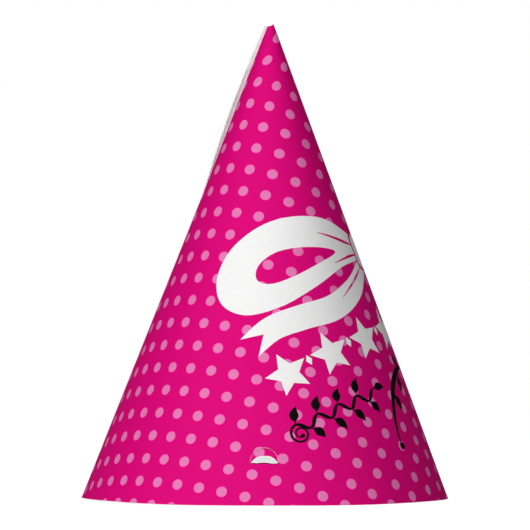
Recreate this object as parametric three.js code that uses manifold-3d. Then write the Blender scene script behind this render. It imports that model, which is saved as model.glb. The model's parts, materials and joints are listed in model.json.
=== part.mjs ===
// Party hat: a cone of printed card, rolled from one flat blank and taped along its seam, with a
// half-moon tongue cut on each side for the chin elastic. It stands on its rim: the origin is the rim's
// centre, +Z points up through the tip, the printed front faces -Y and the tongues are at -X and +X.

import * as THREE from "three";
import { mergeVertices } from "three/addons/utils/BufferGeometryUtils.js";
import Module from "manifold-3d";

const wasm = await Module();
wasm.setup();

// Driving dimensions, in millimetres. Angles are in degrees, counter-clockwise from +X seen from above.
const BASE_RADIUS = 70;
const APEX_HEIGHT = 182.3; // where the straight sides would meet
const TIP_LEAN = 3; // how far the apex leans towards -Y
const TIP_HEIGHT = 180.45; // the middle of the blank's cut tip
const TIP_SLANT = 0.47; // the cut tip rises this much towards -Y and drops as much towards +Y
const CARD_THICKNESS = 0.4;

const SEAM_ANGLE = 75; // the printed blank starts here, and its outer end comes round to here again
const FLAP_WIDTH = 10;
const FLAP_BOTTOM = 1.5;
const FLAP_TOP = 172;
const FLAP_CHAMFER = 4;
const FLAP_WRAP_LIMIT = 55; // near the tip the flap narrows, to wrap no further than this, in degrees
const TAPE_WIDTH = 6;
const TAPE_THICKNESS = 0.12;
const TAPE_BOTTOM = 7;
const TAPE_TOP = 104;
const LAYER_GAP = 0.2; // clearance between the layers of the seam
const PIECE_GAP = 0.3; // clearance between a piece and the piece that it was cut out of

const STEP_RUN = 16; // the outer end climbs onto the flap over this length
const STEP_OVERHANG = 2; // it has climbed this far before the flap begins
const STEP_TOP_LIMIT = 60; // the most that the raised end wraps near the tip, in degrees
const STEP_RUN_LIMIT = 90; // the most that the climb wraps near the tip, in degrees
const LIFT_START = 105; // above the tape the outer end springs away from the cone
const LIFT_HEIGHT = 2.65;
const LIFT_SPAN = 34; // the sprung end, in degrees before the seam
const LIFT_PERIOD = 1.3;
const LIFT_POWER = 1.3;
const LOOSE_START = 110; // from here up the blank's starting side stands off the cone too
const LOOSENESS = 0.9; // by this much at the tip
const LOOSE_HOLD = 20; // evenly over these degrees after the seam
const LOOSE_END = 150; // and no more from here on
const FLAP_LOOSE_SPAN = 30; // on the flap it dies out over these degrees before the seam

const TONGUE_HALF_WIDTH = 5.35;
const TONGUE_HEIGHT = 5.5; // seen square on, along X
const TONGUE_HINGE_HEIGHT = 15.8;
const HINGE_RELIEF = 0.5; // the window's straight edge lies this far under the hinge line
const CUTTER_INSIDE = 56;
const CUTTER_LENGTH = 14;

const PRINTED_PINK = 0xdf0678;
const WHITE_CARD = 0xf4f3f0;
const CLEAR_TAPE = 0xe9e6dc;

// Mesh resolution.
const WALL_COLUMNS = 80;
const PLAIN_ROWS = 3; // under the lifted stretch of the seam
const LIFT_ROWS = 8; // along the lifted stretch
const FLAP_COLUMNS = 4;
const FLAP_ROWS = 14;
const TAPE_COLUMNS = 3;
const TAPE_ROWS = 6;
const MOON_DIVISIONS = 14;

const halfAngle = Math.atan(BASE_RADIUS / APEX_HEIGHT);
const wallWidth = CARD_THICKNESS / Math.cos(halfAngle); // the card's thickness measured level
const layerStep = wallWidth + TAPE_THICKNESS + 2 * LAYER_GAP; // how far the outer end stands over the flap
const outerEndAngle = SEAM_ANGLE + 360;

const toRadians = THREE.MathUtils.degToRad;
const toDegrees = THREE.MathUtils.radToDeg;

/** Radius of the cone's printed face at a height. */
function coneRadius(height) {
  return BASE_RADIUS * (1 - height / APEX_HEIGHT);
}

/** A point at an angle, height and radius about the leaning axis. */
function pointOnCone(angle, height, radius) {
  const turn = toRadians(angle);
  const lean = (-TIP_LEAN * height) / APEX_HEIGHT;
  return new THREE.Vector3(radius * Math.cos(turn), radius * Math.sin(turn) + lean, height);
}

/** How far the rolled card stands off the plain cone: it climbs over the flap, and springs open above. */
function standOff(angle, height) {
  const radius = coneRadius(height);
  const before = outerEndAngle - angle;
  const top = Math.min(toDegrees((FLAP_WIDTH + STEP_OVERHANG) / radius), STEP_TOP_LIMIT);
  const run = Math.min(toDegrees(STEP_RUN / radius), STEP_RUN_LIMIT);
  const climb = 1 - THREE.MathUtils.smoothstep(before, top, top + run);
  const sprung = Math.max(0, 1 - before / LIFT_SPAN) ** 2;
  const loose = 1 - THREE.MathUtils.smoothstep(angle - SEAM_ANGLE, LOOSE_HOLD, LOOSE_END);
  return layerStep * climb + seamLift(height) * sprung + looseness(height) * loose;
}

/** How far the free end of the seam springs open at a height. */
function seamLift(height) {
  const along = (height - LIFT_START) / (TIP_HEIGHT - LIFT_START);
  if (along <= 0) {
    return 0;
  }
  return LIFT_HEIGHT * Math.sin((Math.PI * along) / LIFT_PERIOD) ** LIFT_POWER;
}

/** How far the blank's starting side stands off the cone at a height. */
function looseness(height) {
  return LOOSENESS * THREE.MathUtils.smoothstep(height, LOOSE_START, TIP_HEIGHT);
}

/**
 * A closed thin sheet. Each face is a grid of (columns + 1) by (rows + 1) points that
 * pointAt(column, row, face) gives, face 0 being the outer one, with its columns running
 * counter-clockwise and its rows upwards.
 */
function sheetGeometry(columns, rows, pointAt) {
  const positions = [];
  const triangles = [];
  const perFace = (columns + 1) * (rows + 1);
  const vertex = (column, row, face) => face * perFace + row * (columns + 1) + column;
  const quad = (a, b, c, d) => triangles.push(a, b, c, a, c, d);
  for (let face = 0; face < 2; face += 1) {
    for (let row = 0; row <= rows; row += 1) {
      for (let column = 0; column <= columns; column += 1) {
        positions.push(...pointAt(column, row, face).toArray());
      }
    }
  }
  for (let row = 0; row < rows; row += 1) {
    for (let column = 0; column < columns; column += 1) {
      const corner = [
        [column, row],
        [column + 1, row],
        [column + 1, row + 1],
        [column, row + 1],
      ];
      quad(...corner.map(([c, r]) => vertex(c, r, 0)));
      quad(...corner.reverse().map(([c, r]) => vertex(c, r, 1)));
    }
    quad(vertex(0, row, 1), vertex(0, row, 0), vertex(0, row + 1, 0), vertex(0, row + 1, 1));
    quad(
      vertex(columns, row, 0),
      vertex(columns, row, 1),
      vertex(columns, row + 1, 1),
      vertex(columns, row + 1, 0),
    );
  }
  for (let column = 0; column < columns; column += 1) {
    quad(vertex(column, 0, 1), vertex(column + 1, 0, 1), vertex(column + 1, 0, 0), vertex(column, 0, 0));
    quad(
      vertex(column, rows, 0),
      vertex(column + 1, rows, 0),
      vertex(column + 1, rows, 1),
      vertex(column, rows, 1),
    );
  }
  const geometry = new THREE.BufferGeometry();
  geometry.setAttribute("position", new THREE.Float32BufferAttribute(positions, 3));
  geometry.setIndex(triangles);
  return geometry;
}

/** The whole rolled wall, before the tongues are cut out of it. */
function rolledCard() {
  const rows = PLAIN_ROWS + LIFT_ROWS;
  return sheetGeometry(WALL_COLUMNS, rows, (column, row, face) => {
    const angle = SEAM_ANGLE + (360 * column) / WALL_COLUMNS;
    const tip = TIP_HEIGHT - TIP_SLANT * Math.sin(toRadians(angle));
    const height =
      row <= PLAIN_ROWS
        ? (LIFT_START * row) / PLAIN_ROWS
        : LIFT_START + ((tip - LIFT_START) * (row - PLAIN_ROWS)) / LIFT_ROWS;
    const radius = coneRadius(height) + standOff(angle, height) - face * wallWidth;
    return pointOnCone(angle, height, radius);
  });
}

/** The blank's unprinted margin, which the outer end is stuck down on. */
function glueFlap() {
  return sheetGeometry(FLAP_COLUMNS, FLAP_ROWS, (column, row, face) => {
    const across = 1 - column / FLAP_COLUMNS;
    const low = FLAP_BOTTOM + FLAP_CHAMFER * across;
    const high = FLAP_TOP - FLAP_CHAMFER * across;
    const height = low + ((high - low) * row) / FLAP_ROWS;
    const radius = coneRadius(height);
    const width = Math.min(FLAP_WIDTH, radius * toRadians(FLAP_WRAP_LIMIT));
    const fromSeam = PIECE_GAP + (width - PIECE_GAP) * across;
    const angle = SEAM_ANGLE - toDegrees(fromSeam / radius);
    const loose = 1 - THREE.MathUtils.smoothstep(SEAM_ANGLE - angle, 0, FLAP_LOOSE_SPAN);
    return pointOnCone(angle, height, radius + looseness(height) * loose - face * wallWidth);
  });
}

/** The double-sided tape between the flap and the outer end. */
function seamTape() {
  return sheetGeometry(TAPE_COLUMNS, TAPE_ROWS, (column, row, face) => {
    const height = TAPE_BOTTOM + ((TAPE_TOP - TAPE_BOTTOM) * row) / TAPE_ROWS;
    const radius = coneRadius(height);
    const fromSeam = (FLAP_WIDTH + TAPE_WIDTH) / 2 - (TAPE_WIDTH * column) / TAPE_COLUMNS;
    const angle = SEAM_ANGLE - toDegrees(fromSeam / radius);
    return pointOnCone(angle, height, radius + LAYER_GAP + (1 - face) * TAPE_THICKNESS);
  });
}

/** A half-moon prism lying along X on one side of the hat, with its straight edge level. */
function halfMoonCutter(side, halfWidth, bottom, top) {
  const shape = new THREE.Shape();
  shape.moveTo(-halfWidth, bottom);
  shape.lineTo(halfWidth, bottom);
  shape.absellipse(0, bottom, halfWidth, top - bottom, 0, Math.PI, false, 0);
  const geometry = new THREE.ExtrudeGeometry(shape, {
    depth: CUTTER_LENGTH,
    steps: 1,
    bevelEnabled: false,
    curveSegments: MOON_DIVISIONS,
  });
  const lie = new THREE.Matrix4().makeBasis(
    new THREE.Vector3(0, 1, 0),
    new THREE.Vector3(0, 0, 1),
    new THREE.Vector3(1, 0, 0),
  );
  geometry.applyMatrix4(lie);
  const start = side > 0 ? CUTTER_INSIDE : -CUTTER_INSIDE - CUTTER_LENGTH;
  geometry.translate(start, 0, TONGUE_HINGE_HEIGHT);
  return geometry;
}

/** The geometry as a manifold solid. */
function toSolid(geometry) {
  const bare = geometry.clone();
  bare.deleteAttribute("normal");
  bare.deleteAttribute("uv");
  const merged = mergeVertices(bare);
  return new wasm.Manifold(
    new wasm.Mesh({
      numProp: 3,
      vertProperties: new Float32Array(merged.getAttribute("position").array),
      triVerts: new Uint32Array(merged.getIndex().array),
    }),
  );
}

/** A manifold solid as geometry. */
function toGeometry(solid) {
  const mesh = solid.getMesh();
  const geometry = new THREE.BufferGeometry();
  geometry.setAttribute("position", new THREE.BufferAttribute(mesh.vertProperties, 3));
  geometry.setIndex(new THREE.BufferAttribute(mesh.triVerts, 1));
  return geometry;
}

function namedMesh(name, geometry, color, roughness) {
  geometry.computeVertexNormals();
  const material = new THREE.MeshStandardMaterial({ color, roughness, metalness: 0 });
  const mesh = new THREE.Mesh(geometry, material);
  mesh.name = name;
  return mesh;
}

const hat = new THREE.Group();
hat.name = "party_hat";

const card = toSolid(rolledCard());
const halfGap = PIECE_GAP / 2;
let wall = card;
for (const [name, side] of [
  ["right_cord_tongue", -1],
  ["left_cord_tongue", 1],
]) {
  const window = halfMoonCutter(
    side,
    TONGUE_HALF_WIDTH + halfGap,
    -HINGE_RELIEF,
    TONGUE_HEIGHT + halfGap,
  );
  const outline = halfMoonCutter(side, TONGUE_HALF_WIDTH - halfGap, halfGap, TONGUE_HEIGHT - halfGap);
  wall = wall.subtract(toSolid(window));
  hat.add(namedMesh(name, toGeometry(card.intersect(toSolid(outline))), PRINTED_PINK, 0.45));
}
hat.add(namedMesh("cone_wall", toGeometry(wall), PRINTED_PINK, 0.45));
hat.add(namedMesh("glue_flap", glueFlap(), WHITE_CARD, 0.85));
hat.add(namedMesh("seam_tape", seamTape(), CLEAR_TAPE, 0.3));

export default hat;
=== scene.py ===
"""A card party hat: a printed blank rolled into a cone, taped along its seam, with two half-moon tongues."""
import bpy
import json
import math
from mathutils import Matrix, Vector, kdtree
from mathutils.geometry import delaunay_2d_cdt


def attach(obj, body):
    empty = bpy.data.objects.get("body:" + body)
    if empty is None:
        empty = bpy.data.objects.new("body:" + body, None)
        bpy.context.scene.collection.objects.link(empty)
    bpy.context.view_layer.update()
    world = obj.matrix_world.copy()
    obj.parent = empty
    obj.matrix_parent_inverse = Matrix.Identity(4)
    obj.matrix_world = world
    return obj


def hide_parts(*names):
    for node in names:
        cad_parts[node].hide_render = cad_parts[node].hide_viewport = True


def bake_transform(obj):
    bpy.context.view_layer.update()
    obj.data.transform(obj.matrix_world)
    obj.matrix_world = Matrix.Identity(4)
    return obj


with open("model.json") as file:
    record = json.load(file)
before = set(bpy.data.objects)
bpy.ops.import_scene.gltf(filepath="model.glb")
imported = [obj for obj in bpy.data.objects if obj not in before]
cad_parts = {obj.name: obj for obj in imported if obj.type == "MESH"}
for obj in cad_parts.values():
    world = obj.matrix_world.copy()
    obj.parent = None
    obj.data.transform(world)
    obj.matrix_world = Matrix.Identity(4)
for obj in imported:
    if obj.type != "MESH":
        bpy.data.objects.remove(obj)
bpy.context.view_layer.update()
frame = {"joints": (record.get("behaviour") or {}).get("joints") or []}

# ---------------------------------------------------------------- sizes, in metres and degrees
MM = 0.001
BASE_RADIUS = 70 * MM
APEX_HEIGHT = 182.3 * MM  # where the straight sides would meet
TIP_LEAN = 3 * MM  # how far the apex leans towards the front
TIP_HEIGHT = 180.45 * MM  # the middle of the cut tip
TIP_SLANT = 0.47 * MM  # the cut tip rises this much towards the front, and drops as much behind
CARD = 0.4 * MM
LEAST_RADIUS = 0.3 * MM  # widths are turned into angles as if the cone were no narrower than this

SEAM_ANGLE = 75.0
FRONT_ANGLE = 270.0
FLAP_WIDTH = 10 * MM
FLAP_BOTTOM, FLAP_TOP = 1.5 * MM, 172 * MM
FLAP_CHAMFER = 4 * MM
FLAP_WRAP = 55.0  # near the tip the margin narrows, to wrap no further than this
TAPE_WIDTH, TAPE_THICKNESS = 6 * MM, 0.1 * MM
TAPE_BOTTOM, TAPE_TOP = 7 * MM, 104 * MM
TAPE_GAP = 0.015 * MM  # between the margin and the tape
STEP_RUN = 16 * MM  # the outer end climbs onto the margin over this length
STEP_OVERHANG = 2 * MM  # it has climbed this far before the margin begins
STEP_TOP_LIMIT, STEP_RUN_LIMIT = 60, 90  # the most that the raised end and the climb wrap, in degrees
LIFT_START = 105 * MM  # above the tape the outer end springs away from the cone
LIFT_HEIGHT = 2.65 * MM
LIFT_SPAN = 34.0  # the sprung end, in degrees before the seam
LIFT_PERIOD = 1.3
LIFT_POWER = 1.3
LOOSE_START = 110 * MM  # from here up the blank's starting side stands off the cone too
LOOSENESS = 0.9 * MM  # by this much at the tip
LOOSE_HOLD, LOOSE_END = 20, 150  # degrees after the seam
FLAP_LOOSE_SPAN = 30  # degrees before the seam

RIM_CLEARANCE = 0.04 * MM
RIM_WAVE, RIM_WAVES = 0.1 * MM, 6
SEAM_RISE, SEAM_RISE_POWER = 0.45 * MM, 1.5
RIM_REACH = 20 * MM  # the rim's unevenness dies out over this height
FLATS = ((0.10, 3, 0.8), (0.06, 5, 2.1), (0.018, 17, 0.4), (0.012, 29, 1.9))  # mm, waves round the hat, phase

HALF_ANGLE = math.atan(BASE_RADIUS / APEX_HEIGHT)
WALL_WIDTH = CARD / math.cos(HALF_ANGLE)  # the card's thickness measured level
LAYER_STEP = WALL_WIDTH + TAPE_THICKNESS + 2 * TAPE_GAP  # how far the outer end stands over the margin
OUTER_END = SEAM_ANGLE + 360

HINGE_HEIGHT = frame["joints"][0]["pos_m"][2]
TONGUE_HALF_WIDTH = 5.35 * MM
TONGUE_HEIGHT = 5.5 * MM
TONGUE_RECESS = 3.5  # degrees that a tongue leans inwards at rest
SLIT = 0.09 * MM  # between a tongue and its window
FOLD = 0.35 * MM  # the card bends over this much on each side of the hinge
FOLD_GAP = 0.01 * MM  # between a tongue's straight edge and its window
SIDES = {"right": 180.0, "left": 360.0}
INWARDS = {"right": 1, "left": -1}  # the way along X from each side into the hat
HINGES = {side: Vector(frame["joints"][i]["pos_m"]) for i, side in enumerate(SIDES)}
BURR_START, BURR_SWEEP = 0.04, 0.92  # in half turns
BURR_WIDTH = 0.05  # mm
BURR_RIPPLES = ((0.025, 5, 0.6), (0.015, 11, 0))  # mm, waves in a turn, phase
FOOT_REACH, FOLD_SHADE_REACH = 4.6, 4.9  # half the length of the crescent's foot and of the painted fold shade, in mm
FOLD_SHADE_DEPTH = 0.30  # how far the painted fold shade reaches below the hinge, in mm
FOLD_SHADE_WOBBLE, WOBBLE_TURN = 0.02, 2.1  # the lower line of the painted fold shade: mm, and radians for each step along it
FOOT_HEIGHT = 0.03  # mm above the hinge
SAG_DEPTH, SAG_SLOPE = 0.24, 0.03  # the crushed foot: its depth in mm, and how it differs across the foot
SAG_TURN = 0.5  # radians for each mm across the foot
FOLD_ROWS = (-0.26, 0.14, 0.26, 0.4)  # rows of points across the fold, in mm above the hinge
FOLD_STEP = 0.7  # mm
CRESCENT_SHADE_WIDTH, CRESCENT_SHADE_HEIGHT = 0.875, 0.8125  # the painted shade in the crescent's middle, against the whole crescent
CRESCENT_SHADE_LIFT = 0.225  # how far the painted shade in the crescent's middle is raised, in mm

# The print is laid out on the flat blank: x runs across the hat's front, y runs down from the apex, in mm.
ART_TURN = 0.35  # degrees on the flat blank for each degree round the hat
DOT_PITCH = 8.97
DOT_RADIUS = 2.0
DOT_TURN = math.radians(42.81)
DOT_SHIFT = (1.94, 1.28)
DOT_BLUR = 0.06  # the softness of a dot's edge
# The dots drift from an even grid. The distance from the apex counts from DRIFT_MIDDLE, in DRIFT_SPANs.
DRIFT_MIDDLE, DRIFT_SPAN = 110, 80
DRIFT_DOWN = (0.344, 0.148, -0.868)  # even, and with the distance and its square
DRIFT_ACROSS = (0.307, -1.91, -0.05)  # even, and with 1 - cosine and sine of the angle from the right side
DRIFT_FULL = 60  # the drift across is whole from this far down
TIP_SLIP = 4.6  # the print slips round by this much at the apex
SLIP_END = 34
TIP_SQUEEZE = 0.27  # and is narrower there by this share, about the line at SQUEEZE_ANGLE
SQUEEZE_START, SQUEEZE_END = 12, 58
SQUEEZE_ANGLE = 168.0
SQUEEZE_MIDDLE = math.radians((SQUEEZE_ANGLE - FRONT_ANGLE) * ART_TURN)

PINK = (0.735, 0.0015, 0.195)
DOT_RIM = (0.95, 0.16, 0.53)
DOT_HEART = (0.765, 0.225, 0.455)
# Painted shade: the dark band along each tongue's fold, where the fold's shadow falls.
FOLD_SHADE_PINK = (0.10, 0.0005, 0.03)
INK_WHITE = (0.92, 0.92, 0.915)
INK_BLACK = (0.003, 0.0027, 0.003)
CARD_WHITE = (0.92, 0.94, 0.92)
EDGE_WHITE = (0.90, 0.89, 0.88)
WHITE = (1.0, 1.0, 1.0)
INK_SHADE = (0.955, 0.955, 0.955)  # the darkest mottling of the ink, against white
INK_ROUGHNESS = (0.55, 0.65)
FIBRE_SHADE = 0.92  # the darkest fibres of the card against its colour
# Painted shade: the greyer middle of each tongue's bare crescent, standing in for the shading of the tilted
# foot.
CRESCENT_SHADE_WHITE = (0.78, 0.82, 0.79)
TAPE_DARK, TAPE_LIGHT = (0.80, 0.77, 0.66), (0.86, 0.84, 0.76)

RIM_STEPS, END_STEPS, TIP_STEPS = 288, 60, 24  # along the blank's rim, each of its ends and its tip
FIRST_ROW, LAST_ROW = 3.0 * MM, 1.5 * MM  # from the rim and from the tip to the nearest row of points
LEAST_ROW, MOST_ROW = 1.2 * MM, 3.2 * MM
FOOT_STEPS, DOME_STEPS, BURR_STEPS = 12, 28, 36  # of a half-moon's straight edge, its curve, and the burr
ROW_SHAPE = 1.2  # a row's height against a column's width
FINE_SPAN = 50  # where the seam springs open, the columns are fine over these degrees
FINE_STEP, FINE_WIDTH = 2.0, 0.5 * MM  # the fine columns' least angle in degrees, and least width
EDGE_BULGE = 0.03  # how far a cut edge is rounded, in mm
SHARP_ANGLE = 40
CDT_INSIDE = 1  # keep only the triangles inside the outlines
CDT_EPSILON = 1e-5  # points closer than this are joined, in mm
ACROSS_STEPS, ALONG_STEPS = 6, 44  # of a strip's outline
STRIP_ROW = 3 * MM

CAMERA_DISTANCE = 2.13
FIELD_WIDTH = 202.2 * MM
CAMERA_Y, CAMERA_HEIGHT = -0.23 * MM, 89.0 * MM
LIGHT_DISTANCE = 2.0
LIGHT_TARGET = 80 * MM
AMBIENT, BACKDROP = 0.07, 1.0  # the world's light on the hat, and as the camera sees it
FLOOR_RADIUS = 0.9
FLOOR_DROP = 0.02 * MM
FLOOR_GREY, FLOOR_GLOW = 0.88, 0.8
FLOOR_FADE = (0.16, 0.85)


# ---------------------------------------------------------------- camera, lights, floor
def aim(obj, target):
    obj.rotation_mode = "QUATERNION"
    obj.rotation_quaternion = (Vector(target) - obj.location).to_track_quat("-Z", "Y")


def add_camera():
    """The camera looks level along +X at the hat's right side."""
    data = bpy.data.cameras.new("camera")
    data.lens = data.sensor_width * CAMERA_DISTANCE / FIELD_WIDTH
    camera = bpy.data.objects.new("camera", data)
    camera.location = (-CAMERA_DISTANCE, CAMERA_Y, CAMERA_HEIGHT)
    bpy.context.scene.collection.objects.link(camera)
    aim(camera, (0, CAMERA_Y, CAMERA_HEIGHT))
    bpy.context.scene.camera = camera


def add_light(name, azimuth, elevation, size, power, glossy=True):
    """A square soft light. Azimuth is measured like the hat's angles, from +X."""
    data = bpy.data.lights.new(name, "AREA")
    data.size = size
    data.energy = power
    lamp = bpy.data.objects.new(name, data)
    turn, rise = math.radians(azimuth), math.radians(elevation)
    middle = Vector((0, 0, LIGHT_TARGET))
    away = Vector((math.cos(turn) * math.cos(rise), math.sin(turn) * math.cos(rise), math.sin(rise)))
    lamp.location = middle + away * LIGHT_DISTANCE
    lamp.visible_camera = False
    lamp.visible_glossy = glossy
    bpy.context.scene.collection.objects.link(lamp)
    aim(lamp, middle)


def add_lights():
    add_light("key", azimuth=132, elevation=10, size=0.6, power=20.7)
    add_light("front", azimuth=176, elevation=12, size=0.5, power=17.5)
    add_light("fill", azimuth=222, elevation=10, size=0.7, power=7)
    add_light("back", azimuth=355, elevation=12, size=1.0, power=34, glossy=False)


def add_world():
    """A plain white studio, bright to the camera and dim as a light."""
    world = bpy.data.worlds.new("studio")
    bpy.context.scene.world = world
    world.use_nodes = True
    nodes, links = world.node_tree.nodes, world.node_tree.links
    background = nodes["Background"]
    background.inputs["Color"].default_value = (1, 1, 1, 1)
    path = nodes.new("ShaderNodeLightPath")
    strength = nodes.new("ShaderNodeMapRange")
    strength.inputs["To Min"].default_value = AMBIENT
    strength.inputs["To Max"].default_value = BACKDROP
    links.new(path.outputs["Is Camera Ray"], strength.inputs["Value"])
    links.new(strength.outputs["Result"], background.inputs["Strength"])
    bpy.context.scene.view_settings.view_transform = "Standard"


def floor_material():
    """Pale and faintly bright, fading out towards its edge."""
    material = bpy.data.materials.new("floor")
    material.use_nodes = True
    nodes, links = material.node_tree.nodes, material.node_tree.links
    shader = nodes["Principled BSDF"]
    shader.inputs["Base Color"].default_value = (FLOOR_GREY, FLOOR_GREY, FLOOR_GREY, 1)
    shader.inputs["Roughness"].default_value = 0.9
    shader.inputs["Emission Color"].default_value = (1, 1, 1, 1)
    shader.inputs["Emission Strength"].default_value = FLOOR_GLOW
    coordinate = nodes.new("ShaderNodeTexCoord")
    far = nodes.new("ShaderNodeVectorMath")
    far.operation = "LENGTH"
    links.new(coordinate.outputs["Object"], far.inputs[0])
    fade = nodes.new("ShaderNodeMapRange")
    fade.interpolation_type = "SMOOTHSTEP"
    fade.inputs["From Min"].default_value = FLOOR_FADE[0]
    fade.inputs["From Max"].default_value = FLOOR_FADE[1]
    links.new(far.outputs["Value"], fade.inputs["Value"])
    clear = nodes.new("ShaderNodeBsdfTransparent")
    mix = nodes.new("ShaderNodeMixShader")
    links.new(fade.outputs["Result"], mix.inputs["Fac"])
    links.new(shader.outputs[0], mix.inputs[1])
    links.new(clear.outputs[0], mix.inputs[2])
    links.new(mix.outputs[0], nodes["Material Output"].inputs["Surface"])
    return material


def add_floor():
    bpy.ops.mesh.primitive_circle_add(vertices=96, radius=FLOOR_RADIUS, fill_type="NGON")
    floor = bpy.context.object
    floor.name = "floor"
    floor.location.z = -FLOOR_DROP
    floor.data.materials.append(floor_material())
    floor.visible_diffuse = False
    floor.visible_glossy = False


# ---------------------------------------------------------------- the rolled surface
def smooth(value, low, high):
    t = min(1.0, max(0.0, (value - low) / (high - low)))
    return t * t * (3 - 2 * t)


def cone_radius(height):
    return BASE_RADIUS * (1 - height / APEX_HEIGHT)


def seam_lift(height):
    """How far the free end of the seam springs open."""
    along = (height - LIFT_START) / (TIP_HEIGHT - LIFT_START)
    if along <= 0:
        return 0.0
    return LIFT_HEIGHT * math.sin(math.pi * along / LIFT_PERIOD) ** LIFT_POWER


def looseness(height):
    """How far the blank's starting side stands off the cone."""
    return LOOSENESS * smooth(height, LOOSE_START, TIP_HEIGHT)


def stand_off(angle, height):
    """How far the rolled card stands off the plain cone."""
    radius = max(cone_radius(height), LEAST_RADIUS)
    before = OUTER_END - angle
    top = min(math.degrees((FLAP_WIDTH + STEP_OVERHANG) / radius), STEP_TOP_LIMIT)
    run = min(math.degrees(STEP_RUN / radius), STEP_RUN_LIMIT)
    climb = 1 - smooth(before, top, top + run)
    sprung = max(0.0, 1 - before / LIFT_SPAN) ** 2
    loose = 1 - smooth(angle - SEAM_ANGLE, LOOSE_HOLD, LOOSE_END)
    return LAYER_STEP * climb + seam_lift(height) * sprung + looseness(height) * loose


def ripple(turn, waves, level=0.0):
    """A level with waves on it, each given by its height, how many there are in a turn, and its phase."""
    return sum((tall * math.sin(count * turn + phase) for tall, count, phase in waves), level)


def waviness(angle, height):
    """The card's slight unevenness: soft flats left along its length by the rolling."""
    return ripple(math.radians(angle), FLATS) * MM * (cone_radius(height) / BASE_RADIUS)


def rim_rise(angle):
    """How far the rim stands off the table: it was rolled a little skew, so it is high at the seam."""
    turn = math.radians(angle)
    skew = SEAM_RISE * max(0.0, math.sin(turn)) ** SEAM_RISE_POWER
    return RIM_CLEARANCE + skew + RIM_WAVE * (1 + math.cos(RIM_WAVES * turn))


def around_axis(angle, height, radius):
    """A point about the hat's axis, which leans towards the front."""
    turn = math.radians(angle)
    lean = -TIP_LEAN * height / APEX_HEIGHT
    return Vector((radius * math.cos(turn), radius * math.sin(turn) + lean, height))


def card_point(angle, height, depth):
    """A point of the rolled card, depth 0 being the printed face and 1 the bare one."""
    height += rim_rise(angle) * (1 - smooth(height, 0, RIM_REACH))
    radius = cone_radius(height) + stand_off(angle, height) + waviness(angle, height) - depth * WALL_WIDTH
    return around_axis(angle, height, radius)


def flatten(angle, height):
    """Where a point of the hat lies on the flat blank, in mm."""
    along = (APEX_HEIGHT - height) / math.cos(HALF_ANGLE) / MM
    turn = math.radians((angle - FRONT_ANGLE) * ART_TURN)
    return along * math.sin(turn), -along * math.cos(turn)


def ink_point(x, y):
    """Where a point of the blank lies in the dot print, which is uneven: most of all under the tip."""
    along, turn = math.hypot(x, y), math.atan2(x, -y)
    far = (along - DRIFT_MIDDLE) / DRIFT_SPAN
    side = turn / ART_TURN + math.pi / 2
    even, linear, square = DRIFT_DOWN
    down = even + linear * far + square * far * far
    even, cosine, sine = DRIFT_ACROSS
    across = even + cosine * (1 - math.cos(side)) + sine * math.sin(side)
    across *= min(1.0, along / DRIFT_FULL)
    across -= TIP_SLIP * (1 - smooth(along, 0, SLIP_END))
    across += TIP_SQUEEZE * (1 - smooth(along, SQUEEZE_START, SQUEEZE_END)) * along * (turn - SQUEEZE_MIDDLE)
    return (x + down * math.sin(turn) + across * math.cos(turn),
            y - down * math.cos(turn) + across * math.sin(turn))


def roll(x, y):
    """The angle and height that a point of the flat blank takes on the hat."""
    angle = FRONT_ANGLE + math.degrees(math.atan2(x, -y)) / ART_TURN
    height = APEX_HEIGHT - math.hypot(x, y) * MM * math.cos(HALF_ANGLE)
    return angle, height


def tip_height(angle):
    """The height of the slanting cut tip."""
    return TIP_HEIGHT - TIP_SLANT * math.sin(math.radians(angle))


# ---------------------------------------------------------------- the printed artwork, on the flat blank
def spline(points, closed, steps=8):
    """A smooth curve through the points (Catmull-Rom)."""
    count = len(points)
    curve = []
    for i in range(count if closed else count - 1):
        a, b, c, d = (
            points[(i + k) % count] if closed else points[min(max(i + k, 0), count - 1)]
            for k in (-1, 0, 1, 2)
        )
        for s in range(steps):
            t = s / steps
            curve.append(tuple(
                0.5 * (2 * b[n] + (c[n] - a[n]) * t + (2 * a[n] - 5 * b[n] + 4 * c[n] - d[n]) * t * t
                       + (3 * b[n] - a[n] - 3 * c[n] + d[n]) * t ** 3)
                for n in range(len(b))
            ))
    if not closed:
        curve.append(tuple(points[-1]))
    return curve


def brush(points, steps=8):
    """The outline of a pen stroke through points of (x, y, width)."""
    curve = spline(points, closed=False, steps=steps)
    left, right = [], []
    for i, (x, y, width) in enumerate(curve):
        before, after = curve[max(i - 1, 0)], curve[min(i + 1, len(curve) - 1)]
        dx, dy = after[0] - before[0], after[1] - before[1]
        length = math.hypot(dx, dy) or 1
        nx, ny = -dy / length * width / 2, dx / length * width / 2
        left.append((x + nx, y + ny))
        right.append((x - nx, y - ny))
    return left + right[::-1]


def circle(x, y, radius, count=24):
    return [(x + radius * math.cos(2 * math.pi * i / count), y + radius * math.sin(2 * math.pi * i / count))
            for i in range(count)]


def star(x, y, outer, inner, points=5):
    corners = []
    for i in range(2 * points):
        radius = inner if i % 2 else outer
        turn = math.pi / 2 + math.pi * i / points
        corners.append((x + radius * math.cos(turn), y + radius * math.sin(turn)))
    return corners


def diamond(x, y, wide, tall):
    return [(x - wide, y), (x, y - tall), (x + wide, y), (x, y + tall)]


def mirrored(outline):
    return [(-x, y) for x, y in outline][::-1]


def ribbon(points, steps=8):
    """A flat ribbon through points of (x, y, width), its far end cut to a swallow tail."""
    outline = brush(points, steps)
    count = len(outline) // 2
    tip = [sum(pair) / 2 for pair in zip(outline[count - 1], outline[count])]
    back = [sum(pair) / 2 for pair in zip(outline[count - 4], outline[count + 3])]
    notch = (2.2 * back[0] - 1.2 * tip[0], 2.2 * back[1] - 1.2 * tip[1])
    return outline[:count] + [notch] + outline[count:]


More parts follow.
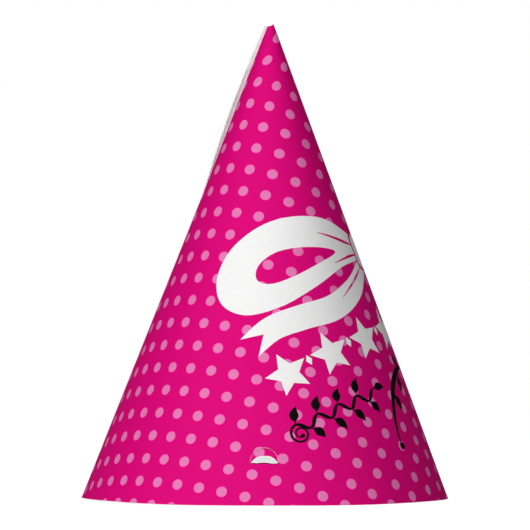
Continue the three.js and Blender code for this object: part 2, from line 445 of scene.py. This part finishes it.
def leaf(x, y, length, width, turn):
    """A pointed leaf on a short stalk that starts at x, y."""
    c, s = math.cos(turn), math.sin(turn)
    ribs = []
    for along, aside, share in ((0, 0, 0.14), (0.17, 0.02, 0.2), (0.34, 0.05, 0.8), (0.52, 0.07, 1.0),
                                (0.72, 0.05, 0.7), (0.9, 0, 0.24), (1.0, -0.04, 0.02)):
        u, v = along * length, aside * length
        ribs.append((x + u * c - v * s, y + u * s + v * c, share * width))
    return brush(ribs, steps=4)


def bow_half():
    """The left loop of the bow with its hollow and folds, and the tail below it."""
    loop = spline([(-4, -90), (-12, -85.5), (-25, -76.5), (-43, -70.5), (-60, -71.5), (-71, -78.5),
                   (-74.5, -89), (-69, -98.3), (-56, -102), (-40, -100.8), (-24, -97.8), (-12, -97.5),
                   (-4, -97)], closed=True)
    hollow = spline([(-24, -91.4), (-35, -85.8), (-47, -82.3), (-55.5, -83.6), (-58.8, -88.2), (-55, -92.4),
                     (-46, -93.7), (-35, -93.2)], closed=True)
    tail = ribbon([(-3, -98, 5), (-12, -102, 7), (-24, -107.6, 9), (-38, -110.8, 9.9), (-52, -109.2, 9.9),
                   (-64, -107.8, 9.9), (-75, -110, 9.9)])
    folds = [
        brush([(-8, -92, 0.2), (-17, -88.6, 1.3), (-28, -82.2, 0.3)]),
        brush([(-8, -95.4, 0.2), (-16, -95, 1.1), (-27, -95.4, 0.2)]),
        brush([(-9, -99.8, 0.2), (-19, -103.8, 1.0), (-31, -108.6, 0.2)]),
    ]
    return [("white", tail), ("white", loop), ("ground", hollow)] + [("ground", fold) for fold in folds]


def bow_knot():
    halo = spline([(-9.6, -87.2), (0, -85.4), (9.6, -87.2), (10.6, -94), (9.6, -100.8), (0, -102.6),
                   (-9.6, -100.8), (-10.6, -94)], closed=True)
    knot = spline([(-8.3, -88.2), (0, -86.6), (8.3, -88.2), (9.3, -94), (8.3, -99.8), (0, -101.4),
                   (-8.3, -99.8), (-9.3, -94)], closed=True)
    creases = [brush([(x, -89.4, 0.2), (0.7 * x, -94, 0.9), (x, -98.6, 0.2)]) for x in (-3.4, 3.4)]
    return [("ground", halo), ("white", knot)] + [("ground", crease) for crease in creases]


def star_row():
    shapes = []
    for i in range(4):
        shapes.append(("white", star(-67.9 + 19.4 * i, -126.2, 8.8, 4.1)))
        if i < 3:
            shapes.append(("white", diamond(-58.2 + 19.4 * i, -125, 1.3, 2.1)))
    return shapes


def vine_point(t):
    return -76 + 38 * t, -146.6 + 1.8 * math.cos(8 * math.pi * t)


def vine():
    """A waving stem with a leaf at each bend, from a curled tendril to a last leaf."""
    stem = [(*vine_point(i / 40), 0.8 + 0.7 * abs(math.sin(8 * math.pi * i / 40))) for i in range(41)]
    tendril = []
    for i in range(28):
        turn = math.pi * (0.5 + 3.1 * i / 27)
        reach = 3.9 - 2.8 * i / 27
        tendril.append((-76 + reach * math.cos(turn), -148.7 + reach * math.sin(turn), 1.0 - 0.4 * i / 27))
    shapes = [brush(stem, steps=3), brush(tendril, steps=3), circle(*tendril[-1][:2], 0.85, 14)]
    for i in range(8):
        x, y = vine_point(i / 8)
        shapes.append(leaf(x, y, 7.4 - 0.8 * (i % 3 == 1), 3.5, -1.05 if i % 2 else 1.05))
    shapes.append(leaf(*vine_point(1), 7.2, 3.2, -0.12))
    return shapes


def swash():
    """A curved stem that droops from the middle of the front, with three leaves and a round end."""
    stem = [(-2.5, -142.4, 0.4), (-8, -141.3, 1.5), (-16, -142.6, 2.6), (-24, -147, 2.9), (-30.5, -155, 2.1),
            (-34.3, -163, 1.2), (-35.4, -168, 0.9)]
    leaves = [
        leaf(-9, -141.4, 7.6, 3.4, 2.2),
        leaf(-15.5, -142.6, 8.4, 3.8, 4.4),
        leaf(-26, -149, 8.4, 3.6, 4.9),
    ]
    return [brush(stem), circle(-35.2, -169, 1.5, 18)] + leaves


def artwork():
    """The painted shapes, later ones over earlier ones."""
    shapes = []
    pen = [("black", outline) for outline in vine() + swash()]
    for ink, outline in bow_half() + star_row() + pen:
        shapes.append((ink, outline))
        shapes.append((ink, mirrored(outline)))
    middle = [("white", diamond(0, -125, 1.3, 2.1)), ("black", star(0, -141.8, 4.2, 1.8))]
    return shapes + bow_knot() + middle


# ---------------------------------------------------------------- half-moon outlines
def seen_square(side, y, rise):
    """The point of the blank that shows at y and at a height above the hinge, seen along X."""
    height = HINGE_HEIGHT + rise
    lean = -TIP_LEAN * height / APEX_HEIGHT
    turn = math.degrees(math.asin((y - lean) / cone_radius(height)))
    return flatten(SIDES[side] + (turn if side == "left" else -turn), height)


def half_moon(side, half_width, bottom, top):
    """A half-moon on the blank with a level straight edge. bottom and top are heights from the hinge."""
    outline = [(-half_width + 2 * half_width * i / FOOT_STEPS, bottom) for i in range(FOOT_STEPS)]
    for i in range(DOME_STEPS):
        turn = math.pi * i / DOME_STEPS
        outline.append((half_width * math.cos(turn), bottom + (top - bottom) * math.sin(turn)))
    return [seen_square(side, y, rise) for y, rise in outline]


def burr(side):
    """The thin line round a window where the die cracked the ink and the card shows white."""
    outline = []
    for i in range(BURR_STEPS + 1):
        turn = math.pi * (BURR_START + BURR_SWEEP * i / BURR_STEPS)
        wide = ripple(turn, BURR_RIPPLES, BURR_WIDTH) * MM
        reach = TONGUE_HALF_WIDTH + wide
        outline.append((reach * math.cos(turn), (TONGUE_HEIGHT + wide + FOLD) * math.sin(turn) - FOLD))
    return [seen_square(side, y, rise) for y, rise in outline]


def foot_sag(y):
    """How far the foot of a tongue is crushed below its fold, in mm, at each side of the middle."""
    return (SAG_DEPTH - SAG_SLOPE * y) * math.sin(SAG_TURN * y) ** 2


def across_foot(reach, steps=16):
    """Even steps across the foot of a tongue, in mm from its middle."""
    return [-reach + 2 * reach * i / steps for i in range(steps + 1)]


def fold_shade_line(side):
    """The band of painted shade along the foot of a tongue, where the pressed fold's shadow falls."""
    low = [(y, -FOLD_SHADE_DEPTH + FOLD_SHADE_WOBBLE * math.sin(WOBBLE_TURN * i))
           for i, y in enumerate(across_foot(FOLD_SHADE_REACH))]
    high = [(-y, 0.0) for y in across_foot(FOLD_SHADE_REACH)]
    return [seen_square(side, y * MM, (rise - foot_sag(y)) * MM) for y, rise in low + high]


def crescent(side, wide=1.0, tall=1.0, lift=0.0):
    """The foot of a tongue, where the folding took the ink off in a low dome. Drawn smaller and raised, it
    holds the painted shade in the foot's middle.
    """
    dome = spline([(-5.05, 0.02), (-4.3, 0.8), (-3.3, 1.75), (-2.1, 2.35), (-0.6, 2.55), (1.0, 2.5),
                   (2.6, 2.1), (3.7, 1.35), (4.5, 0.6), (5.05, 0.02)], closed=False, steps=3)
    foot = [(-y, FOOT_HEIGHT - foot_sag(-y)) for y in across_foot(FOOT_REACH)]
    return [seen_square(side, y * wide * MM, (lift + rise * tall) * MM) for y, rise in dome + foot]


# ---------------------------------------------------------------- meshing the blank
def blank_outline(start, end):
    """The blank's edge on the flat: rim, outer end, tip, starting end."""
    outline = []
    for i in range(RIM_STEPS):
        angle = start + (end - start) * i / RIM_STEPS
        outline.append(flatten(angle, 0.0))
    for i in range(END_STEPS):
        outline.append(flatten(end, tip_height(end) * i / END_STEPS))
    for i in range(TIP_STEPS):
        angle = end + (start - end) * i / TIP_STEPS
        outline.append(flatten(angle, tip_height(angle)))
    for i in range(END_STEPS):
        outline.append(flatten(start, tip_height(start) * (1 - i / END_STEPS)))
    return outline


def column_step(radius):
    """The degrees between the mesh's columns, which are sparser towards the tip."""
    if radius > 20 * MM:
        return 2.5
    return 5.0 if radius > 7 * MM else 10.0


def grid_points(start, end):
    """Points in rows round the hat, sparser towards the tip and finer where the seam springs open."""
    points = []
    height = FIRST_ROW
    while height < TIP_HEIGHT - LAST_ROW:
        radius = cone_radius(height)
        step = column_step(radius)
        fine = max(FINE_STEP, math.degrees(FINE_WIDTH / radius))
        angle = start + step
        while angle < end - step / 2:
            points.append(flatten(angle, height))
            angle += fine if angle > end - FINE_SPAN and height > LIFT_START else step
        height += max(LEAST_ROW, min(MOST_ROW, radius * math.radians(step) * ROW_SHAPE))
    return points


def triangulate(outlines, loose, exact=(), clear=0.45):
    """Constrained triangles: outlines are closed polygons, loose are points to add where they are further
    than clear from the outlines, in mm, and exact are points to add as they are. Returns the points, the
    triangles and, for each triangle, the indices of the outlines that hold it."""
    points, faces = [], []
    for outline in outlines:
        turned = sum(a[0] * b[1] - b[0] * a[1] for a, b in zip(outline, outline[1:] + outline[:1]))
        if turned < 0:
            outline = outline[::-1]
        faces.append(list(range(len(points), len(points) + len(outline))))
        points.extend(outline)
    near = kdtree.KDTree(len(points))
    for i, (x, y) in enumerate(points):
        near.insert((x, y, 0), i)
    near.balance()
    points.extend(p for p in loose if near.find((p[0], p[1], 0))[2] > clear)
    points.extend(exact)
    made = delaunay_2d_cdt([Vector(p) for p in points], [], faces, CDT_INSIDE, CDT_EPSILON, True)
    return made[0], made[2], made[5]


def cut_edges(triangles):
    """The directed edges that only one triangle has."""
    seen = set()
    for triangle in triangles:
        for a, b in zip(triangle, triangle[1:] + triangle[:1]):
            seen.add((a, b))
    return [(a, b) for a, b in seen if (b, a) not in seen]


def bulged_edge(flat, edges):
    """The flat place of the rounded edge's middle beside each point on a cut edge, by the point's index."""
    ways = {}
    for a, b in edges:
        outwards = Vector((flat[b][1] - flat[a][1], flat[a][0] - flat[b][0])).normalized()
        for i in (a, b):
            ways.setdefault(i, []).append(outwards)
    places = {}
    for i, found in ways.items():
        way = sum(found, Vector((0, 0))).normalized() * EDGE_BULGE
        places[i] = (flat[i][0] + way.x, flat[i][1] + way.y)
    return places


def mesh_object(name, vertices, faces, slots, card, materials):
    """A smooth mesh with its materials, and with each vertex's place in the print as an attribute."""
    mesh = bpy.data.meshes.new(name)
    mesh.from_pydata(vertices, [], faces)
    mesh.update()
    for ink in materials:
        mesh.materials.append(MATERIALS[ink])
    mesh.polygons.foreach_set("material_index", slots)
    mesh.polygons.foreach_set("use_smooth", [True] * len(faces))
    layer = mesh.attributes.new("card", "FLOAT_VECTOR", "POINT")
    layer.data.foreach_set("vector", [value for x, y in card for value in (*ink_point(x, y), 0.0)])
    mesh.set_sharp_from_angle(angle=math.radians(SHARP_ANGLE))
    obj = bpy.data.objects.new(name, mesh)
    bpy.context.scene.collection.objects.link(obj)
    return obj


def sheet_object(name, points, triangles, inks, place, materials):
    """A closed card: the triangles as its printed face, again as its bare face, and its cut edges between.
    place(x, y, depth) gives a point of the card and inks names each triangle's material."""
    used = sorted({i for t in triangles for i in t})
    index = {old: new for new, old in enumerate(used)}
    triangles = [[index[i] for i in t] for t in triangles]
    flat = [points[i] for i in used]
    count = len(flat)
    vertices = [place(x, y, 0) for x, y in flat] + [place(x, y, 1) for x, y in flat]
    card = [(x, y) for x, y in flat] * 2
    faces = [list(t) for t in triangles] + [[i + count for i in reversed(t)] for t in triangles]
    slots = [materials.index(ink) for ink in inks] + [materials.index("bare")] * len(triangles)
    edges = cut_edges(triangles)
    bulge = {}
    for i, (x, y) in bulged_edge(flat, edges).items():
        bulge[i] = len(vertices)
        vertices.append(place(x, y, 0.5))
        card.append((x, y))
    for a, b in edges:
        faces.append([b, a, bulge[a], bulge[b]])
        faces.append([bulge[b], bulge[a], a + count, b + count])
        slots.extend([materials.index("edge")] * 2)
    return mesh_object(name, vertices, faces, slots, card, materials)


# ---------------------------------------------------------------- materials
class Graph:
    """Short calls for building a node tree."""

    def __init__(self, name):
        self.material = bpy.data.materials.new(name)
        self.material.use_nodes = True
        self.nodes = self.material.node_tree.nodes
        self.links = self.material.node_tree.links
        self.shader = self.nodes["Principled BSDF"]

    def feed(self, socket, value):
        if isinstance(value, bpy.types.NodeSocket):
            self.links.new(value, socket)
        elif isinstance(value, (tuple, list)) and socket.type == "RGBA":
            socket.default_value = (*value, 1)
        else:
            socket.default_value = value

    def weighted(self, a, b, share):
        """The two values mixed: a by its share, and b by the rest."""
        return self.math("ADD", self.math("MULTIPLY", a, share), self.math("MULTIPLY", b, 1 - share))

    def math(self, operation, a, b):
        node = self.nodes.new("ShaderNodeMath")
        node.operation = operation
        self.feed(node.inputs[0], a)
        self.feed(node.inputs[1], b)
        return node.outputs[0]

    def vector(self, operation, a, b=(0, 0, 0)):
        node = self.nodes.new("ShaderNodeVectorMath")
        node.operation = operation
        self.feed(node.inputs[0], a)
        self.feed(node.inputs[1], b)
        return node.outputs["Value" if operation in ("LENGTH", "DOT_PRODUCT") else "Vector"]

    def mix(self, share, a, b, blend="MIX"):
        node = self.nodes.new("ShaderNodeMix")
        node.data_type = "RGBA"
        node.blend_type = blend
        self.feed(node.inputs[0], share)
        self.feed(node.inputs[6], a)
        self.feed(node.inputs[7], b)
        return node.outputs[2]

    def ramp(self, value, low, high, to_low=0.0, to_high=1.0):
        node = self.nodes.new("ShaderNodeMapRange")
        node.interpolation_type = "SMOOTHSTEP"
        for socket, item in zip(node.inputs, (value, low, high, to_low, to_high)):
            self.feed(socket, item)
        return node.outputs["Result"]

    def noise(self, where, scale, detail=3.0):
        node = self.nodes.new("ShaderNodeTexNoise")
        self.feed(node.inputs["Vector"], where)
        node.inputs["Scale"].default_value = scale
        node.inputs["Detail"].default_value = detail
        return node.outputs["Fac"]

    def attribute(self, name):
        node = self.nodes.new("ShaderNodeAttribute")
        node.attribute_name = name
        return node.outputs["Vector"]

    def bump(self, height, strength, distance):
        node = self.nodes.new("ShaderNodeBump")
        node.inputs["Strength"].default_value = strength
        node.inputs["Distance"].default_value = distance
        self.feed(node.inputs["Height"], height)
        self.links.new(node.outputs[0], self.shader.inputs["Normal"])

    def finish(self, colour, roughness, specular):
        self.feed(self.shader.inputs["Base Color"], colour)
        self.feed(self.shader.inputs["Roughness"], roughness)
        self.shader.inputs["Specular IOR Level"].default_value = specular
        return self.material


def dotted(graph, card, ground):
    """Polka dots on a square grid turned across the blank, each a little duller in its middle."""
    turned = graph.nodes.new("ShaderNodeVectorRotate")
    turned.rotation_type = "Z_AXIS"
    graph.feed(turned.inputs["Vector"], graph.vector("SUBTRACT", card, (*DOT_SHIFT, 0)))
    turned.inputs["Angle"].default_value = -DOT_TURN
    cells = graph.vector("MULTIPLY", turned.outputs[0], (1 / DOT_PITCH, 1 / DOT_PITCH, 0))
    whole = graph.vector("FLOOR", graph.vector("ADD", cells, (0.5, 0.5, 0)))
    away = graph.vector("LENGTH", graph.vector("SUBTRACT", cells, whole))
    reach = DOT_RADIUS / DOT_PITCH
    soft = DOT_BLUR / DOT_PITCH
    dot = graph.mix(graph.ramp(away, 0.5 * reach, 0.95 * reach), DOT_HEART, DOT_RIM)
    return graph.mix(graph.ramp(away, reach - soft, reach + soft), dot, ground)


def print_material(name, colour, dots=False):
    """Ink on smooth card: faint mottling, fine grain, and a soft sheen."""
    graph = Graph(name)
    card = graph.attribute("card")
    mottle = graph.noise(card, 0.55, 4)
    grain = graph.noise(card, 9.0, 3)
    base = dotted(graph, card, colour) if dots else colour
    shade = graph.mix(graph.ramp(graph.weighted(mottle, grain, 0.6), 0.3, 0.7), INK_SHADE, WHITE)
    tinted = graph.mix(1.0, base, shade, "MULTIPLY")
    graph.bump(grain, strength=0.12, distance=0.05 * MM)
    return graph.finish(tinted, graph.ramp(mottle, 0.3, 0.7, *INK_ROUGHNESS), specular=0.05)


def bare_material(name, colour, grain_scale, strength):
    """Uncoated card: fibres, faint clouding, no shine."""
    graph = Graph(name)
    card = graph.attribute("card")
    cloud = graph.noise(card, 0.35, 5)
    stretched = graph.vector("MULTIPLY", card, (1.0, 0.28, 1.0))
    fibres = graph.noise(stretched, grain_scale, 4)
    tone = graph.ramp(graph.weighted(cloud, fibres, 0.5), 0.3, 0.7)
    dull = tuple(v * FIBRE_SHADE for v in colour)
    graph.bump(fibres, strength, distance=0.08 * MM)
    return graph.finish(graph.mix(tone, dull, colour), roughness=0.85, specular=0.25)


def tape_material():
    """Slightly yellow film with long wrinkles and a dull shine."""
    graph = Graph("tape_film")
    card = graph.attribute("card")
    wrinkles = graph.noise(graph.vector("MULTIPLY", card, (1.0, 0.15, 1.0)), 1.6, 2)
    tint = graph.mix(graph.ramp(wrinkles, 0.35, 0.65), TAPE_DARK, TAPE_LIGHT)
    graph.bump(wrinkles, strength=0.3, distance=0.05 * MM)
    return graph.finish(tint, roughness=0.35, specular=0.5)


MATERIALS = {
    "ground": print_material("ink_pink", PINK, dots=True),
    "white": print_material("ink_white", INK_WHITE),
    "black": print_material("ink_black", INK_BLACK),
    "bare": bare_material("bare_card", CARD_WHITE, grain_scale=3.0, strength=0.35),
    "edge": bare_material("cut_edge", EDGE_WHITE, grain_scale=6.0, strength=0.5),
    # painted shade: dark pink ink in the band along each tongue's fold, where its shadow falls
    "fold": print_material("painted_fold_shade", FOLD_SHADE_PINK),
    # painted shade: greyer card in the middle of each crescent, with coarser fibres
    "rubbed": bare_material("crescent_shade_card", CRESCENT_SHADE_WHITE, grain_scale=2.0, strength=0.6),
    "tape": tape_material(),
}
CARD_SLOTS = ["ground", "white", "black", "bare", "edge", "fold", "rubbed"]
# The fold marks and the marks in a crescent's middle are painted shade: dark ink along each fold, greyer card
# in each crescent.
MARK_INKS = {"burr": "edge", "window": "ground", "foot": "bare", "rubbed": "rubbed", "fold": "fold"}


# ---------------------------------------------------------------- the pieces
def place_card(x, y, depth):
    angle, height = roll(x, y)
    return card_point(angle, height, depth)


def tongue_place(side):
    """Places a tongue's points: the wall's own curve, leant inwards a little about the fold."""
    hinge = HINGES[side]
    recess = INWARDS[side] * math.radians(TONGUE_RECESS)

    def place(x, y, depth):
        point = place_card(x, y, depth)
        share = smooth(point.z - HINGE_HEIGHT, -FOLD, FOLD)
        return Matrix.Rotation(recess * share, 3, "Y") @ (point - hinge) + hinge

    return place


def fold_rows(side):
    """Points in rows across the fold, so that it bends smoothly."""
    return [seen_square(side, i * FOLD_STEP * MM, rise * MM) for rise in FOLD_ROWS for i in range(-7, 8)]


def tongue_marks(side):
    """The outlines at one tongue, each with its kind and side. Later ones win over earlier ones."""
    inner = half_moon(side, TONGUE_HALF_WIDTH - SLIT, -FOLD + FOLD_GAP, TONGUE_HEIGHT - SLIT)
    return [
        ("burr", side, burr(side)),
        ("window", side, half_moon(side, TONGUE_HALF_WIDTH, -FOLD, TONGUE_HEIGHT)),
        ("tongue", side, inner),
        ("foot", side, crescent(side)),
        # The last two marks are painted shade: a greyer middle in the bare crescent, and a dark band along
        # the fold.
        ("rubbed", side, crescent(side, CRESCENT_SHADE_WIDTH, CRESCENT_SHADE_HEIGHT, CRESCENT_SHADE_LIFT)),
        ("fold", side, fold_shade_line(side)),
    ]


def sheet_and_ink(owner, shapes, marks):
    """The sheet that a triangle belongs to, if any, and its ink. owner holds the outlines round it."""
    first = 1 + len(shapes)
    painted = [i for i in owner if 0 < i < first]
    ink = shapes[max(painted) - 1][0] if painted else "ground"
    sheet = "wall"
    for kind, side, _ in (marks[i - first] for i in sorted(owner) if i >= first):
        ink = MARK_INKS.get(kind, ink)
        if kind == "window":
            sheet = None
        elif kind == "tongue":
            sheet = side
    return sheet, ink


def build_wall(points, sheet):
    cone = sheet_object("card_cone", points, *sheet, place_card, CARD_SLOTS)
    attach(cone, "hat")
    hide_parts("cone_wall")


def build_tongue(side, points, sheet):
    """One tongue. Its fold bends from the hat to the tongue's own body."""
    piece = sheet_object(f"{side}_tongue_card", points, *sheet, tongue_place(side), CARD_SLOTS)
    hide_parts(f"{side}_cord_tongue")
    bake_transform(piece)


def build_card():
    """Triangulates the whole blank once, then takes the wall and the two tongues out of it."""
    shapes = artwork()
    blank = blank_outline(SEAM_ANGLE, OUTER_END)
    marks = [mark for side in SIDES for mark in tongue_marks(side)]
    outlines = [blank] + [outline for _, outline in shapes] + [outline for _, _, outline in marks]
    exact = [point for side in SIDES for point in fold_rows(side)]
    points, triangles, owners = triangulate(outlines, grid_points(SEAM_ANGLE, OUTER_END), exact)
    sheets = {"wall": ([], []), "right": ([], []), "left": ([], [])}
    for triangle, owner in zip(triangles, owners):
        if 0 not in owner:
            continue
        sheet, ink = sheet_and_ink(owner, shapes, marks)
        if sheet:
            sheets[sheet][0].append(list(triangle))
            sheets[sheet][1].append(ink)
    build_wall(points, sheets["wall"])
    for side in SIDES:
        build_tongue(side, points, sheets[side])


def margin_point(across, height):
    """The point of the blank at a distance before the seam, in the margin."""
    radius = cone_radius(height)
    narrowing = min(1.0, radius * math.radians(FLAP_WRAP) / FLAP_WIDTH)
    return flatten(SEAM_ANGLE - math.degrees(across * narrowing / radius), height)


def strip_outline(low, high, near, far, chamfer):
    """The outline on the blank of a strip along the seam. near and far are distances before the seam."""
    across = [i / ACROSS_STEPS for i in range(ACROSS_STEPS)]
    along = [i / ALONG_STEPS for i in range(ALONG_STEPS)]
    foot = [margin_point(far + (near - far) * t, low + chamfer * (1 - t)) for t in across]
    near_side = [margin_point(near, low + (high - low) * t) for t in along]
    top = [margin_point(near + (far - near) * t, high - chamfer * t) for t in across]
    far_side = [margin_point(far, high - chamfer + (low - high + 2 * chamfer) * t) for t in along]
    return foot + near_side + top + far_side


def strip_points(low, high):
    """Points inside a strip along the seam."""
    points = []
    height = low + STRIP_ROW
    while height < high - STRIP_ROW:
        points.extend(margin_point(FLAP_WIDTH * k / 8, height) for k in range(1, 8))
        height += STRIP_ROW
    return points


def place_flap(x, y, depth):
    """The margin carries on from the printed face's first edge, and stands off the cone with it."""
    angle, height = roll(x, y)
    loose = looseness(height) * (1 - smooth(SEAM_ANGLE - angle, 0, FLAP_LOOSE_SPAN))
    radius = cone_radius(height) + waviness(angle, height) + loose - depth * WALL_WIDTH
    return around_axis(angle, height, radius)


def place_tape(x, y, depth):
    angle, height = roll(x, y)
    radius = cone_radius(height) + waviness(angle, height) + TAPE_GAP + (1 - depth) * TAPE_THICKNESS
    return around_axis(angle, height, radius)


def build_flap():
    """The unprinted margin inside the seam."""
    outline = strip_outline(FLAP_BOTTOM, FLAP_TOP, 0.0, FLAP_WIDTH, FLAP_CHAMFER)
    points, triangles, owners = triangulate([outline], strip_points(FLAP_BOTTOM, FLAP_TOP), clear=0.3)
    kept = [list(t) for t, owner in zip(triangles, owners) if owner]
    flap = sheet_object("glue_margin", points, kept, ["bare"] * len(kept), place_flap, ["bare", "edge"])
    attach(flap, "hat")
    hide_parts("glue_flap")


def build_tape():
    """The double-sided tape between the margin and the outer end."""
    near = (FLAP_WIDTH - TAPE_WIDTH) / 2
    outline = strip_outline(TAPE_BOTTOM, TAPE_TOP, near, near + TAPE_WIDTH, 0.0)
    points, triangles, owners = triangulate([outline], strip_points(TAPE_BOTTOM, TAPE_TOP))
    kept = [list(t) for t, owner in zip(triangles, owners) if owner]
    tape = sheet_object("double_sided_tape", points, kept, ["tape"] * len(kept), place_tape,
                        ["tape", "bare", "edge"])
    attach(tape, "hat")
    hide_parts("seam_tape")


add_camera()
add_lights()
add_world()
add_floor()
build_card()
build_flap()
build_tape()
